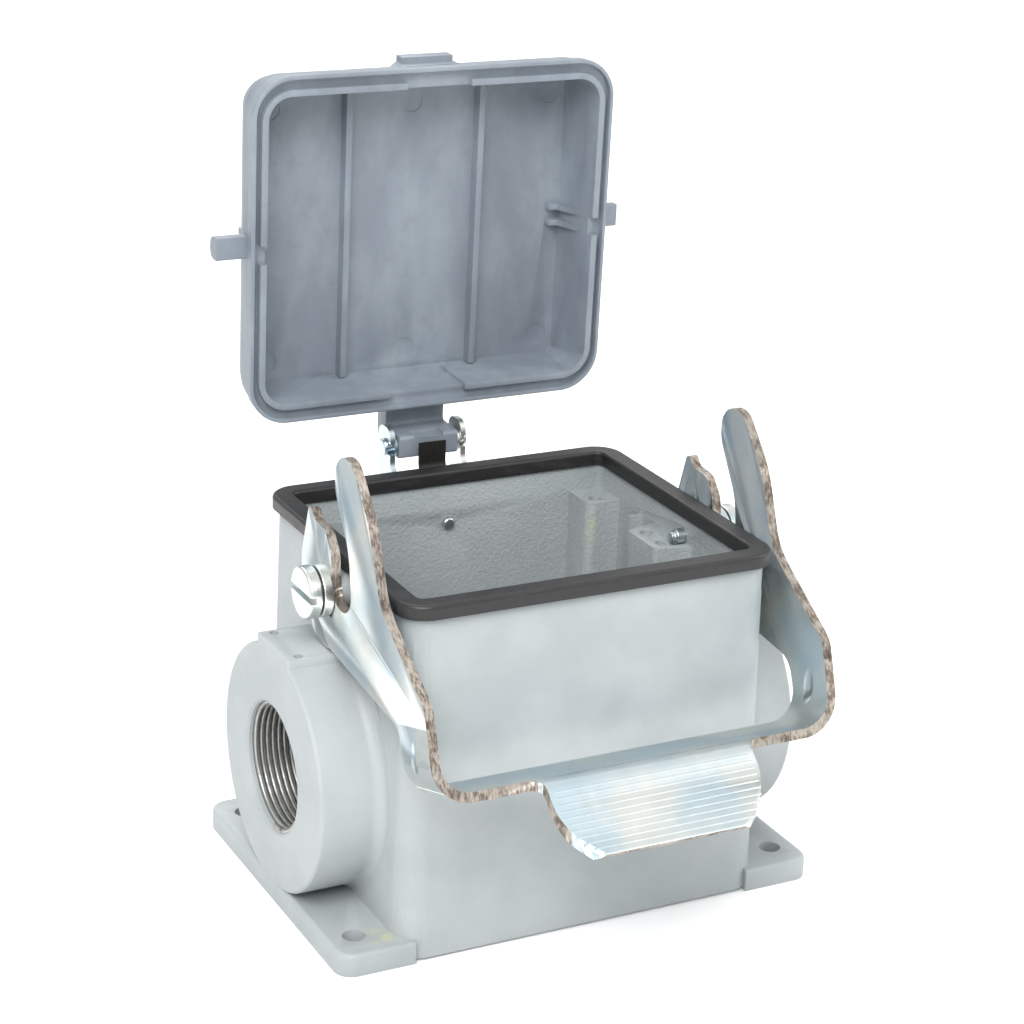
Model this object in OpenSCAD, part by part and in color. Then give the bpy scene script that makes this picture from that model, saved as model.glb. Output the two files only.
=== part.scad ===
// Surface-mount housing of a heavy duty rectangular connector, for two 16-pole inserts side by side,
// with a sprung cover and one locking lever. Millimetres. Origin: middle of the base, on its underside.
// +X runs along the cable axis away from the tapped entry, +Y runs to the hinge side, +Z is up.

/* [Base] */
// Length of the base over both feet
base_length = 127.7; // [122:0.1:150]
// Width of the base
base_width = 86.8; // [85:0.1:105]
// Height of the feet
foot_height = 5.7; // [4:0.1:8]
// Length of each foot, measured in from the end of the base
foot_length = 19; // [16:0.5:22]
// Corner radius of the base in plan
base_corner_r = 4.5; // [3:0.5:8]
// Screw hole in each foot
foot_hole_d = 5.5; // [4:0.1:6.5]
// Spacing of the foot holes along X
foot_pitch_x = 113.8; // [110:0.1:116]
// Spacing of the foot holes along Y
foot_pitch_y = 69.2; // [60:0.1:72]
// Height that the underside between the feet is relieved
sole_relief = 0.8; // [0.4:0.1:1.5]

/* [Body] */
// Length of the neck under the gasket
neck_length = 94; // [92:0.1:98]
// Width of the neck under the gasket
neck_width = 82.5; // [80:0.1:84]
// Height of the neck
neck_height = 88; // [84:0.1:100]
// Wall at the top of the neck
wall = 2.8; // [2.4:0.1:3.2]
// Floor of the cavity
floor_t = 3.2; // [2.5:0.1:5]
// Corner radius of the neck
neck_corner_r = 5.5; // [5:0.1:7]
// Draft of the outer walls in degrees
outer_draft = 1.14; // [0.6:0.02:1.4]
// Draft of the cavity walls in degrees
inner_draft = 0.4; // [0:0.1:1]

/* [Cable entries] */
// Diameter of the round entry boss
boss_d = 61.2; // [56:0.1:62]
// Height of the entry axis
boss_z = 34.8; // [34:0.1:38]
// Thread diameter of the cable entry, M32
entry_d = 32; // [25:1:40]
// Depth of the lead-in chamfer of the entry
entry_chamfer = 0.7; // [0.3:0.1:1.2]
// Fillet where the boss meets the wall
boss_fillet = 3; // [1:0.5:4]
// End wall of the blank boss
blank_wall = 3.5; // [2.5:0.1:5]
// Width of the flat on top of the boss
ledge_width = 19; // [16:0.5:24]
// Height of the flat on top of the boss
ledge_z = 66.2; // [65.6:0.1:68]

/* [Insert seats] */
// Spacing of the insert screws along X
insert_pitch_x = 77.5; // [75:0.1:78]
// Spacing of the insert screws of one insert along Y
insert_pitch_y = 27; // [25:0.1:28]
// Distance between the middles of the two inserts
insert_bay = 35; // [34:0.1:36]
// Distance of the seats below the top of the neck
seat_drop = 8.7; // [8:0.1:10]
// Tapped hole for an insert screw
insert_hole_d = 3.3; // [2.5:0.1:4.2]
// Depth of the insert screw holes
insert_hole_depth = 14; // [8:1:20]

/* [Gasket] */
// Thickness of the gasket outside the neck
skirt_t = 1.8; // [1.2:0.1:2]
// Thickness of the gasket over the edge of the neck
gasket_top_t = 1.5; // [1.2:0.1:1.7]
// Height of the gasket's outer skirt below the edge of the neck
skirt_drop = 2.1; // [1.5:0.1:2.6]

/* [Lever] */
// Thickness of the lever sheet
sheet_t = 2.3; // [1.8:0.1:2.6]
// Distance over the two arms
lever_span = 104.8; // [104:0.1:107]
// Height of the lever pivot
pivot_z = 80.7; // [80.5:0.1:81]
// Place of the lever pivot along Y
pivot_y = -4.6; // [-5:0.1:-4]
// Width of the strip that joins the arms
strip_w = 15.2; // [12:0.1:17]
// Outer radius of the bend between arm and strip
bend_r = 9.5; // [6:0.1:11]
// Forward slope of the strip in degrees
strip_slope = 17.6; // [14:0.1:20]
// Reach of the thumb tab
tab_length = 19.6; // [15:0.1:24]
// Width of the thumb tab
tab_w = 53; // [40:0.5:60]
// Slope of the thumb tab below the horizontal in degrees
tab_slope = 42; // [35:1:50]

/* [Lever pivots] */
// Diameter of the screw head and the bush flange
head_d = 12.7; // [10:0.1:13]
// Height of the screw head
head_h = 3; // [2.4:0.1:3.4]
// Diameter of the bush sleeve that the arm turns on
sleeve_d = 8; // [7:0.1:8.6]
// Thickness of the bush flange
flange_t = 2.4; // [1.5:0.1:3]
// Thickness of the washer under the head
pivot_washer_t = 0.5; // [0.4:0.1:0.8]
// Diameter of the pivot screw's thread
pivot_thread_d = 4; // [3:0.5:4.5]
// Length of screw that stands into the cavity
pivot_tail = 2.7; // [1:0.1:3.5]
// Diameter of the cast boss that the bush stands on
pivot_boss_d = 9.6; // [9:0.1:10]

/* [Cover] */
// Length of the cover's rim
cover_length = 98.1; // [98:0.1:99]
// Width of the cover's rim
cover_width = 88.15; // [86:0.05:89]
// Depth of the cover
cover_depth = 19; // [17:0.1:20]
// Thickness of the cover's roof
roof_t = 2.8; // [2:0.1:3.2]
// Corner radius of the rim
cover_corner_r = 10.5; // [9:0.1:12]
// Width of the outer lip of the rim
outer_lip = 1; // [0.8:0.1:1.4]
// Width of the inner lip of the rim
inner_lip = 1.6; // [1.2:0.1:2]
// Depth of the groove between the lips
groove_depth = 2; // [1:0.1:2.5]
// Distance over the two pegs
peg_span = 111.3; // [110:0.1:113]
// Width of a peg
peg_w = 5.8; // [5:0.1:6]
// Thickness of a peg
peg_t = 4.4; // [4:0.1:4.6]
// Distance from the rim to a peg
peg_rise = 6.5; // [6.4:0.1:6.8]

/* [Hinge] */
// Distance from the middle of the housing back to the hinge pin
hinge_y = 54.47; // [54:0.1:56]
// Height of the hinge pin above the closed rim
hinge_rise = 2.15; // [1.5:0.05:3]
// Diameter of the hinge pin
pin_d = 3; // [2.5:0.1:3.4]
// Angle that the cover is open at rest
open_angle = 88.13; // [80:0.1:95]
// Width of the hinge knuckle on the cover
knuckle_w = 16.4; // [14:0.1:17.2]
// Thickness of the hinge bracket
bracket_t = 1.4; // [1:0.1:1.6]
// Thickness of the leaf spring
leaf_t = 0.4; // [0.3:0.1:0.6]
// Width of the leaf spring
leaf_w = 7.6; // [5:0.1:9]

/* [Clearances] */
// Radial gap of a pin or sleeve that turns
turn_gap = 0.05; // [0.03:0.01:0.1]
// Gap of pieces that lie side by side
side_gap = 0.1; // [0.05:0.05:0.3]
// Gap of pieces that pass each other
pass_gap = 0.4; // [0.3:0.05:0.6]

/* [Hidden] */
$fn = 64;
eps = 0.01;
arc_step = 6;

cast_grey = "#a2a7a7";
cover_grey = "#71787f";
rubber_black = "#262626";
zinc = "#c4cac9";
strip_black = "#2c2b29";

// Body
base_hx = base_length / 2;
base_hy = base_width / 2;
neck_hx = neck_length / 2;
neck_hy = neck_width / 2;
foot_grow = neck_height * tan(outer_draft);
seat_z = neck_height - seat_drop;
floor_z = sole_relief + floor_t;
foot_edge_r = 1.2;
core_d = entry_d + 1.2;

// Insert seats
post_x = 35;
insert_hole_x = insert_pitch_x / 2;
bay_y = insert_bay / 2;

// Gasket
gasket_fit = 0.1;
gasket_z = neck_height + gasket_top_t;
inner_skirt_t = 0.8;

// Cover, drawn closed and swung open about the pin
rim_z = gasket_z + 0.33;
pin_y = hinge_y;
pin_z = rim_z + hinge_rise;
cover_hx = cover_length / 2;
cover_hy = cover_width / 2;
peg_y = -0.6;
recess_w = 21;

// Lever
arm_out = lever_span / 2;
arm_in = arm_out - sheet_t;
heel_r = pivot_z - ledge_z - pass_gap;

// Hinge
ear_in = knuckle_w / 2 + 1.1;
ear_out = ear_in + bracket_t;
plate_y = neck_hy + 0.95;
plate_bottom = 68;
plate_top = 83.5;
bracket_screw_z = 75.2;
bracket_screw_d = 3.2;
leaf_y = pin_y - 5.05 - pass_gap - leaf_t;

// ---- Shared shapes ----

// Points of a polygon whose corners are given as [x, y, radius], with each corner rounded by its radius.
function rounded(c) = [
  for (i = [0:len(c) - 1])
    let (
      n = len(c),
      p = [c[i].x, c[i].y],
      a = c[(i + n - 1) % n],
      b = c[(i + 1) % n],
      u = [a.x, a.y] - p,
      v = [b.x, b.y] - p,
      ua = u / norm(u),
      va = v / norm(v),
      r = c[i][2],
      half = acos(max(-1, min(1, ua * va))) / 2
    )
    each (r == 0 || half > 89.9 ? [p] : corner_arc(p, ua, va, r, half))
];

// Arc of one rounded corner at p, between the directions ua and va that lead away from it.
function corner_arc(p, ua, va, r, half) =
  let (
    mid = p + (ua + va) / norm(ua + va) * r / sin(half),
    start = p + ua * r / tan(half) - mid,
    turn = (ua.x * va.y - ua.y * va.x > 0 ? -1 : 1) * (180 - 2 * half),
    steps = max(1, ceil(abs(turn) / arc_step))
  )
  [for (k = [0:steps]) mid + turned(start, turn * k / steps)];

function turned(v, a) = [v.x * cos(a) - v.y * sin(a), v.x * sin(a) + v.y * cos(a)];

function rect_corners(hx, hy, r) = [[-hx, -hy, r], [hx, -hy, r], [hx, hy, r], [-hx, hy, r]];

module round_rect(hx, hy, r) {
  polygon(rounded(rect_corners(hx, hy, r)));
}

// Outline drawn in Y and Z, extruded along X and centred on X = 0.
module side_profile(points, width) {
  translate([-width / 2, 0, 0])
    rotate([90, 0, 90])
      linear_extrude(width)
        polygon(points);
}

// Sweeps a profile round a rounded rectangle. Its X counts outwards from the outline, its Y is height.
module sweep_rect(hx, hy, r) {
  for (k = [0:3]) {
    along = k % 2 == 0 ? hy : hx;
    out = k % 2 == 0 ? hx : hy;
    rotate([0, 0, 90 * k])
      union() {
        translate([out, along - r, 0])
          rotate([90, 0, 0])
            linear_extrude(2 * (along - r))
              children();
        translate([out - r, along - r, 0])
          rotate_extrude(angle = 90)
            translate([r, 0])
              children();
      }
  }
}

// Rounded block from low to high whose side is a swept profile. Its X counts outwards from the corner's axis.
module filled_sweep(hx, hy, r, low, high) {
  for (k = [0:3]) {
    along = (k % 2 == 0 ? hy : hx) - r;
    out = (k % 2 == 0 ? hx : hy) - r;
    rotate([0, 0, 90 * k])
      translate([out, along, 0])
        union() {
          rotate([90, 0, 0])
            linear_extrude(2 * along)
              children();
          rotate_extrude(angle = 90)
            children();
        }
  }
  translate([r - hx, r - hy, low])
    cube([2 * (hx - r), 2 * (hy - r), high - low]);
}

// Cylinder that lies along X, from x0 to x1.
module rod_x(x0, x1, d) {
  translate([min(x0, x1), 0, 0])
    rotate([0, 90, 0])
      cylinder(h = abs(x1 - x0), d = d);
}

// ---- Housing ----

// Plate with rounded corners and a rounded upper edge.
module soft_plate(hx, hy, h, r, edge) {
  filled_sweep(hx, hy, r, 0, h)
    polygon(rounded([[0, 0, 0], [r, 0, 0], [r, h, edge], [0, h, 0]]));
}

// Rounded block whose side has a draft: it is larger by grow at the foot.
module drafted_block(hx, hy, r, low, high, grow) {
  filled_sweep(hx, hy, r, low, high)
    polygon([[0, low], [r + grow, low], [r, high], [0, high]]);
}

// Outer form of the body, wider at the foot by the draft.
module body_block() {
  drafted_block(neck_hx, neck_hy, neck_corner_r, 0, neck_height, foot_grow);
}

// Space inside the body, narrower at the floor by the draft.
module cavity() {
  top = neck_height + 1;
  drafted_block(neck_hx - wall, neck_hy - wall, neck_corner_r - wall, floor_z, top,
    -(top - floor_z) * tan(inner_draft));
}

// Both feet, which run together under the body.
module feet() {
  difference() {
    soft_plate(base_hx, base_hy, foot_height, base_corner_r, foot_edge_r);
    translate([-base_hx + foot_length, -base_width, -eps])
      cube([base_length - 2 * foot_length, 2 * base_width, foot_height + 1]);
  }
}

// Round boss with its flat ledge, on the +X end.
module entry_boss() {
  boss_r = boss_d / 2;
  edge = 1;
  translate([0, 0, boss_z])
    rotate([90, 0, 90])
      rotate_extrude()
        polygon(rounded([
          [0, neck_hx, 0],
          [boss_r + boss_fillet + 1, neck_hx - 1, 0],
          [boss_r + boss_fillet + 1, wall_x(boss_z), 0],
          [boss_r, wall_x(boss_z), boss_fillet],
          [boss_r, base_hx, edge],
          [0, base_hx, 0]
        ]));
  translate([neck_hx, -ledge_width / 2, boss_z])
    linear_extrude(ledge_z - boss_z)
      polygon(rounded([
        [0, 0, 0],
        [base_hx - neck_hx, 0, edge],
        [base_hx - neck_hx, ledge_width, edge],
        [0, ledge_width, 0]
      ]));
}

// Half length of the body at a height.
function wall_x(z) = neck_hx + (neck_height - z) * tan(outer_draft);

// Columns in the corners that carry the outer insert screws.
module corner_post() {
  inner_y = insert_pitch_y + (insert_bay - insert_pitch_y) / 2 - 3.5;
  translate([0, 0, floor_z - eps])
    linear_extrude(seat_z - floor_z)
      polygon(rounded([
        [post_x, inner_y, 2.5],
        [neck_hx - wall / 2, inner_y, 0],
        [neck_hx - wall / 2, neck_hy - wall / 2, 0],
        [post_x, neck_hy - wall / 2, 0]
      ]));
}

// Block in the middle of an end wall that carries the two inner insert screws.
module middle_block() {
  narrow = 6.8;
  wide = 10;
  translate([0, 0, floor_z - eps])
    linear_extrude(seat_z - floor_z)
      polygon(rounded([
        [post_x, -narrow, 1.5],
        [neck_hx - wall / 2, -wide, 0],
        [neck_hx - wall / 2, wide, 0],
        [post_x, narrow, 1.5]
      ]));
}

module wall_rib() {
  rib_y = 16;
  rib_t = 1.8;
  rib_depth = 3.6;
  translate([neck_hx - wall - rib_depth, rib_y - rib_t / 2, floor_z - eps])
    cube([rib_depth + wall / 2, rib_t, seat_z - floor_z]);
}

module insert_holes() {
  for (y = [-bay_y - insert_pitch_y / 2, -bay_y + insert_pitch_y / 2])
    translate([insert_hole_x, y, seat_z - insert_hole_depth])
      cylinder(h = insert_hole_depth + 1, d = insert_hole_d);
}

// Flat on the back wall that the hinge bracket lies on, between two low ribs.
module bracket_seat() {
  guide_t = 2;
  translate([-ear_out - side_gap - guide_t, neck_hy - 1, plate_bottom - 1])
    difference() {
      cube([2 * (ear_out + side_gap + guide_t), plate_y - neck_hy + 1 + bracket_t, plate_top - plate_bottom + 2]);
      translate([guide_t, plate_y - neck_hy + 1, 1 - side_gap])
        cube([2 * (ear_out + side_gap), 2 * bracket_t, plate_top - plate_bottom + 3]);
    }
}

module housing() {
  tail_x = neck_hx - wall - pivot_tail;
  color(cast_grey)
    difference() {
      union() {
        difference() {
          union() {
            feet();
            body_block();
            for (m = [0, 1])
              mirror([m, 0, 0]) {
                entry_boss();
                translate([0, pivot_y, pivot_z])
                  rod_x(neck_hx - 1, arm_in - side_gap, pivot_boss_d);
              }
            bracket_seat();
          }
          cavity();
        }
        for (mx = [0, 1], my = [0, 1])
          mirror([mx, 0, 0])
            mirror([0, my, 0]) {
              corner_post();
              middle_block();
              wall_rib();
            }
      }
      // Relief under the body between the feet
      translate([-base_hx + foot_length, -base_width, -eps])
        cube([base_length - 2 * foot_length, 2 * base_width, sole_relief + eps]);
      // Tapped cable entry on the -X end, and the cored inside of the blank boss on the +X end
      translate([0, 0, boss_z]) {
        rod_x(-base_hx - 1, -neck_hx + wall + 0.5, entry_d);
        rod_x(-neck_hx + wall + 0.5, 1 - post_x, core_d);
        translate([-base_hx - eps, 0, 0])
          rotate([0, 90, 0])
            cylinder(h = entry_chamfer, d1 = entry_d + 2 * entry_chamfer, d2 = entry_d);
        rod_x(post_x - 1, base_hx - blank_wall, core_d);
      }
      // Screw holes of the feet
      for (x = [-1, 1], y = [-1, 1])
        translate([x * foot_pitch_x / 2, y * foot_pitch_y / 2, -1])
          cylinder(h = foot_height + 2, d = foot_hole_d);
      for (m = [0, 1])
        mirror([m, 0, 0]) {
          for (my = [0, 1])
            mirror([0, my, 0])
              insert_holes();
          // Pivot screw: tapped hole, and room over the middle block for its end
          translate([0, pivot_y, pivot_z]) {
            rod_x(neck_hx - 2 * wall, lever_span, pivot_thread_d + 2 * turn_gap);
            rod_x(tail_x - 1.5, neck_hx - wall, pivot_thread_d + 2 * pass_gap);
          }
          // Blind holes in the ledge
          for (y = [-7.6, 7.6])
            translate([base_hx - 3.8, y, ledge_z - 4])
              cylinder(h = 5, d = 2.2);
        }
      // Screw hole of the hinge bracket
      translate([0, plate_y + 1, bracket_screw_z])
        rotate([90, 0, 0])
          cylinder(h = plate_y, d = bracket_screw_d + 2 * turn_gap);
    }
}

// ---- Gasket ----

module rim_gasket() {
  inner = -wall - inner_skirt_t;
  color(rubber_black)
    sweep_rect(neck_hx, neck_hy, neck_corner_r)
      polygon(rounded([
        [gasket_fit, neck_height - skirt_drop, 0],
        [skirt_t, neck_height - skirt_drop, 0.3],
        [skirt_t, gasket_z, 1],
        [inner, gasket_z, 0.8],
        [inner, neck_height - skirt_drop - 0.1, 0.2],
        [-wall - gasket_fit, neck_height - skirt_drop - 0.1, 0],
        [-wall - gasket_fit, neck_height, 0],
        [gasket_fit, neck_height, 0]
      ]));
}

// ---- Locking lever ----

// Fork and shoulder of one arm in Y and Z from the pivot: a short and a long prong with the peg slot between.
arm_corners = [
  [14.0, 4.5, 8],
  [9.5, 18.6, 1.3],
  [6.5, 15.3, 2],
  [0.4, 14.9, 4],
  [-3.7, 10.2, 6],
  [-5.0, -1.8, 5.2],
  [-16.2, -1.8, 5.2],
  [-13.8, 13.8, 16],
  [-5.4, 26.8, 8],
  [-5.4, 35.8, 6],
  [-14.4, 35.9, 6],
  [-24.6, 24.6, 25],
  [-31.6, 6.9, 14],
  [-55.6, -7.6, 5.5]
];

module arm_outline() {
  slope = [sin(strip_slope), cos(strip_slope)];
  foot = strip_front() + slope * (bend_r - sheet_t + 1);
  back = foot + [cos(strip_slope), -sin(strip_slope)] * strip_w;
  union() {
    // Round heel below and behind the pivot, which clears the ledge at every angle
    intersection() {
      circle(heel_r);
      translate([-3, -heel_r - 1])
        square([heel_r + 4, heel_r + 1]);
    }
    polygon(rounded(concat(
      [[heel_r - 0.2, 0, 0]],
      arm_corners,
      [[foot.x, foot.y, 0], [back.x, back.y, 0], [-42.5, -17.4, 6], [-3, -13.6, 0]]
    )));
  }
}

// Front edge of the strip's upper face, from the pivot.
function strip_front() = [-61.6, -26.2];

// Strip and both bends, seen along the strip: a U of sheet, drawn in X and the direction of the legs.
module strip_section() {
  polygon(rounded([
    [-arm_out, bend_r + 8, 0],
    [-arm_out, 0, bend_r],
    [arm_out, 0, bend_r],
    [arm_out, bend_r + 8, 0],
    [arm_in, bend_r + 8, 0],
    [arm_in, sheet_t, bend_r - sheet_t],
    [-arm_in, sheet_t, bend_r - sheet_t],
    [-arm_in, bend_r + 8, 0]
  ]));
}

// Thumb tab: bent sheet in side view, cut to its outline.
module thumb_tab() {
  front = strip_front();
  root = 6;
  back = front + turned([root, 0], -strip_slope);
  bend = front + turned([-2.2, 0], -strip_slope);
  tip = bend + turned([-tab_length, 0], tab_slope);
  inner = 3;
  intersection() {
    side_profile(rounded([
      [back.x, back.y, 0],
      [bend.x, bend.y, inner + sheet_t],
      [tip.x, tip.y, 0.6],
      [tip.x + sheet_t * sin(tab_slope), tip.y - sheet_t * cos(tab_slope), 0.6],
      [bend.x + sheet_t * 0.25, bend.y - sheet_t * 1.15, inner],
      [back.x - sheet_t * sin(strip_slope), back.y - sheet_t * cos(strip_slope), 0]
    ]), tab_w + 20);
    translate([0, front.x, -60])
      linear_extrude(60)
        tab_outline(front.x - tip.x);
  }
}

// Plan of the tab, from its root at Y = 0 forwards.
module tab_outline(reach) {
  half = tab_w / 2;
  root_back = 7;
  polygon(rounded([
    [-half - 4, root_back, 0],
    [-half - 4, 0.6, 0],
    [-half, -1.5, 3],
    [-half, -reach * 0.62, 9],
    [-half * 0.66, -reach - 0.3, 8],
    [half * 0.66, -reach - 0.3, 8],
    [half, -reach * 0.62, 9],
    [half, -1.5, 3],
    [half + 4, 0.6, 0],
    [half + 4, root_back, 0]
  ]));
}

module locking_lever() {
  front = strip_front();
  color(zinc)
    translate([0, pivot_y, pivot_z]) {
      for (m = [0, 1])
        mirror([m, 0, 0])
          translate([arm_in, 0, 0])
            rotate([90, 0, 90])
              linear_extrude(sheet_t)
                difference() {
                  arm_outline();
                  circle(d = sleeve_d + 2 * turn_gap);
                }
      translate([0, front.x, front.y])
        rotate([-strip_slope, 0, 0])
          translate([0, strip_w, -sheet_t])
            rotate([90, 0, 0])
              linear_extrude(strip_w)
                strip_section();
      thumb_tab();
    }
}

// ---- Lever pivots, drawn on the +X side ----

module pivot_screw() {
  head_x = arm_out + side_gap + flange_t + pivot_washer_t;
  slot_w = 1.6;
  slot_depth = 1.4;
  point = 0.9;
  tail_x = neck_hx - wall - pivot_tail;
  color(zinc)
    translate([0, pivot_y, pivot_z])
      difference() {
        rotate([90, 0, 90])
          rotate_extrude()
            polygon(rounded([
              [0, tail_x - point, 0],
              [pivot_thread_d / 2 - 0.7, tail_x - point, 0],
              [pivot_thread_d / 2 - 0.7, tail_x, 0],
              [pivot_thread_d / 2, tail_x + 0.5, 0],
              [pivot_thread_d / 2, head_x, 0],
              [head_d / 2, head_x, 0.3],
              [head_d / 2, head_x + head_h, 0.6],
              [0, head_x + head_h, 0]
            ]));
        translate([head_x + head_h - slot_depth, -head_d, -slot_w / 2])
          cube([slot_depth + 1, 2 * head_d, slot_w]);
      }
}

module pivot_bush() {
  flange_x = arm_out + side_gap;
  color(zinc)
    translate([0, pivot_y, pivot_z])
      rotate([90, 0, 90])
        rotate_extrude()
          polygon(rounded([
            [pivot_thread_d / 2 + turn_gap, arm_in - side_gap, 0],
            [sleeve_d / 2, arm_in - side_gap, 0],
            [sleeve_d / 2, flange_x, 0],
            [head_d / 2, flange_x, 0.3],
            [head_d / 2, flange_x + flange_t, 0.3],
            [pivot_thread_d / 2 + turn_gap, flange_x + flange_t, 0]
          ]));
}

module pivot_washer() {
  face = arm_out + side_gap + flange_t;
  color(strip_black)
    translate([0, pivot_y, pivot_z])
      difference() {
        rod_x(face, face + pivot_washer_t, head_d - 1.2);
        rod_x(face - 1, face + pivot_washer_t + 1, pivot_thread_d + 2 * turn_gap);
      }
}

module pivot_screw_left() { mirror([1, 0, 0]) pivot_screw(); }
module pivot_screw_right() { pivot_screw(); }
module pivot_bush_left() { mirror([1, 0, 0]) pivot_bush(); }
module pivot_bush_right() { pivot_bush(); }
module pivot_washer_left() { mirror([1, 0, 0]) pivot_washer(); }
module pivot_washer_right() { pivot_washer(); }

// ---- Cover ----

// Half section of the cover's outside: X counts outwards from the corner's axis, Y up from the rim.
module cover_wall_section() {
  r = cover_corner_r;
  polygon(rounded([
    [0, 0, 0],
    [r, 0, 0.4],
    [r - 0.3, 3.6, 0.5],
    [r - 0.9, 4, 0.4],
    [r - 1.5, 10, 6],
    [r - 4.4, cover_depth, 6],
    [0, cover_depth, 0]
  ]));
}

module cover_hollow() {
  depth = cover_depth - roof_t;
  mouth_x = cover_hx - inner_edge_x();
  mouth_y = cover_hy - inner_edge_y();
  corner = 6;
  intersection() {
    translate([0, 0, -1])
      linear_extrude(depth + 1)
        round_rect(mouth_x, mouth_y, corner);
    rotate([90, 0, 0])
      linear_extrude(2 * cover_hy, center = true)
        hollow_section(mouth_x, depth, 1.7);
    side_profile(hollow_outline(mouth_y, depth, 0.4), 2 * cover_hx);
  }
}

// Section of the hollow, narrower at the roof by a draft on each side.
function hollow_outline(half, depth, draft) = [
  [-half - 1, -2],
  [half + 1, -2],
  [half + 1, 0],
  [half, 0],
  [half - draft, depth + 1],
  [-half + draft, depth + 1],
  [-half, 0],
  [-half - 1, 0]
];

module hollow_section(half, depth, draft) {
  polygon(hollow_outline(half, depth, draft));
}

// Distance from the rim's outline to the inner edge of the inner lip, on the ends and on the long sides.
function inner_edge_x() = outer_lip + 1.5 + inner_lip;
function inner_edge_y() = inner_edge_x() + 1;

module rim_groove() {
  translate([0, 0, -eps])
    linear_extrude(groove_depth)
      difference() {
        round_rect(cover_hx - outer_lip, cover_hy - outer_lip, cover_corner_r - outer_lip);
        round_rect(cover_hx - inner_edge_x() + inner_lip, cover_hy - inner_edge_y() + inner_lip,
          cover_corner_r - inner_edge_x() + inner_lip);
      }
}

// Openings in the inner lip: one in each end and one at the middle of each long side.
module lip_gaps() {
  end_gap = 4.6;
  front_gap = 17.4;
  lip = inner_lip + 1;
  for (m = [0, 1])
    mirror([m, 0, 0])
      translate([cover_hx - inner_edge_x() - 1, -end_gap / 2, -eps])
        cube([lip + eps, end_gap, groove_depth]);
  translate([-front_gap / 2, -cover_hy + inner_edge_y() - inner_lip - eps, -eps])
    cube([front_gap, lip, groove_depth]);
  translate([-recess_w / 2, cover_hy - inner_edge_y() - 1, -eps])
    cube([recess_w, lip + eps, groove_depth]);
}

// Peg on the +X end, flat below and round above.
module cover_peg() {
  top_r = 2.4;
  translate([cover_hx - 4, peg_y, peg_rise])
    rotate([90, 0, 90])
      linear_extrude(peg_span / 2 - cover_hx + 4)
        polygon(rounded([
          [-peg_w / 2, 0, 0.4],
          [peg_w / 2, 0, 0.4],
          [peg_w / 2, peg_t, top_r],
          [-peg_w / 2, peg_t, top_r]
        ]));
}

// Fin that stiffens the end wall behind a peg.
module end_fin(y) {
  fin_t = 1.5;
  roof = cover_depth - roof_t;
  translate([0, y + fin_t / 2, 0])
    rotate([90, 0, 0])
      linear_extrude(fin_t)
        polygon([
          [39.4, roof + 0.5],
          [39.4, roof - 2.6],
          [41.6, roof - 2.9],
          [cover_hx - inner_edge_x() + 0.5, groove_depth + 1],
          [cover_hx - 3, roof + 0.5]
        ]);
}

// Arm and knuckle that reach back from the cover to the hinge pin.
module hinge_arm() {
  top = 12.9;
  under = 7.8;
  front = pin_y - 3.4;
  back = pin_y + 2.6;
  bottom = hinge_rise - 3.67;
  difference() {
    side_profile(rounded([
      [cover_hy - 4, under, 0],
      [front, under, 1],
      [front, bottom, 1],
      [back, bottom, 1],
      [back, top, 4.5],
      [cover_hy - 4, top, 0]
    ]), knuckle_w);
    translate([-leaf_w / 2 - 0.3, front - eps, bottom - 1])
      cube([leaf_w + 0.6, 0.8, 5.2]);
  }
}

module closed_cover() {
  difference() {
    union() {
      difference() {
        union() {
          filled_sweep(cover_hx, cover_hy, cover_corner_r, 0, cover_depth)
            cover_wall_section();
          hinge_arm();
          for (m = [0, 1])
            mirror([m, 0, 0])
              cover_peg();
          grip_tab();
        }
        cover_hollow();
        translate([-recess_w / 2, cover_hy - inner_edge_y() - 1, -eps])
          cube([recess_w, 1.7, cover_depth - roof_t - 1]);
      }
      for (m = [0, 1])
        mirror([m, 0, 0]) {
          end_fin(2.1);
          end_fin(-2.1);
        }
      roof_ribs();
    }
    rim_groove();
    lip_gaps();
    translate([0, pin_y, hinge_rise])
      rod_x(-knuckle_w, knuckle_w, pin_d + 2 * turn_gap);
    ejector_marks();
  }
}

// Grip on the free edge: a ridge on a low base with sloping ends.
module grip_tab() {
  ridge_hx = 6.9;
  base_low = 5;
  translate([0, -cover_hy, 0]) {
    translate([-ridge_hx, -1, 8])
      cube([2 * ridge_hx, 5, 3.5]);
    translate([0, 0, base_low])
      linear_extrude(6)
        polygon([[-10.5, 3], [-7.2, 0.5], [7.2, 0.5], [10.5, 3], [10.5, 6], [-10.5, 6]]);
  }
}

module roof_ribs() {
  rib_x = 18.3;
  rib_t = 1.6;
  rib_h = 3.2;
  reach = cover_hy - inner_edge_y() - 0.6;
  for (s = [-1, 1])
    translate([s * rib_x - rib_t / 2, -reach, cover_depth - roof_t - rib_h])
      cube([rib_t, 2 * reach, rib_h + 0.5]);
}

// Shallow round marks inside the roof.
module ejector_marks() {
  for (x = [-38.6, 0, 38.6], y = [-32.2, 33.3])
    translate([x, y, cover_depth - roof_t - 1])
      cylinder(h = 1.15, d = 5.8);
}

module protective_cover() {
  color(cover_grey)
    translate([0, pin_y, pin_z])
      rotate([-open_angle, 0, 0])
        translate([0, -pin_y, -hinge_rise])
          closed_cover();
}

// ---- Hinge ----

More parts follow.
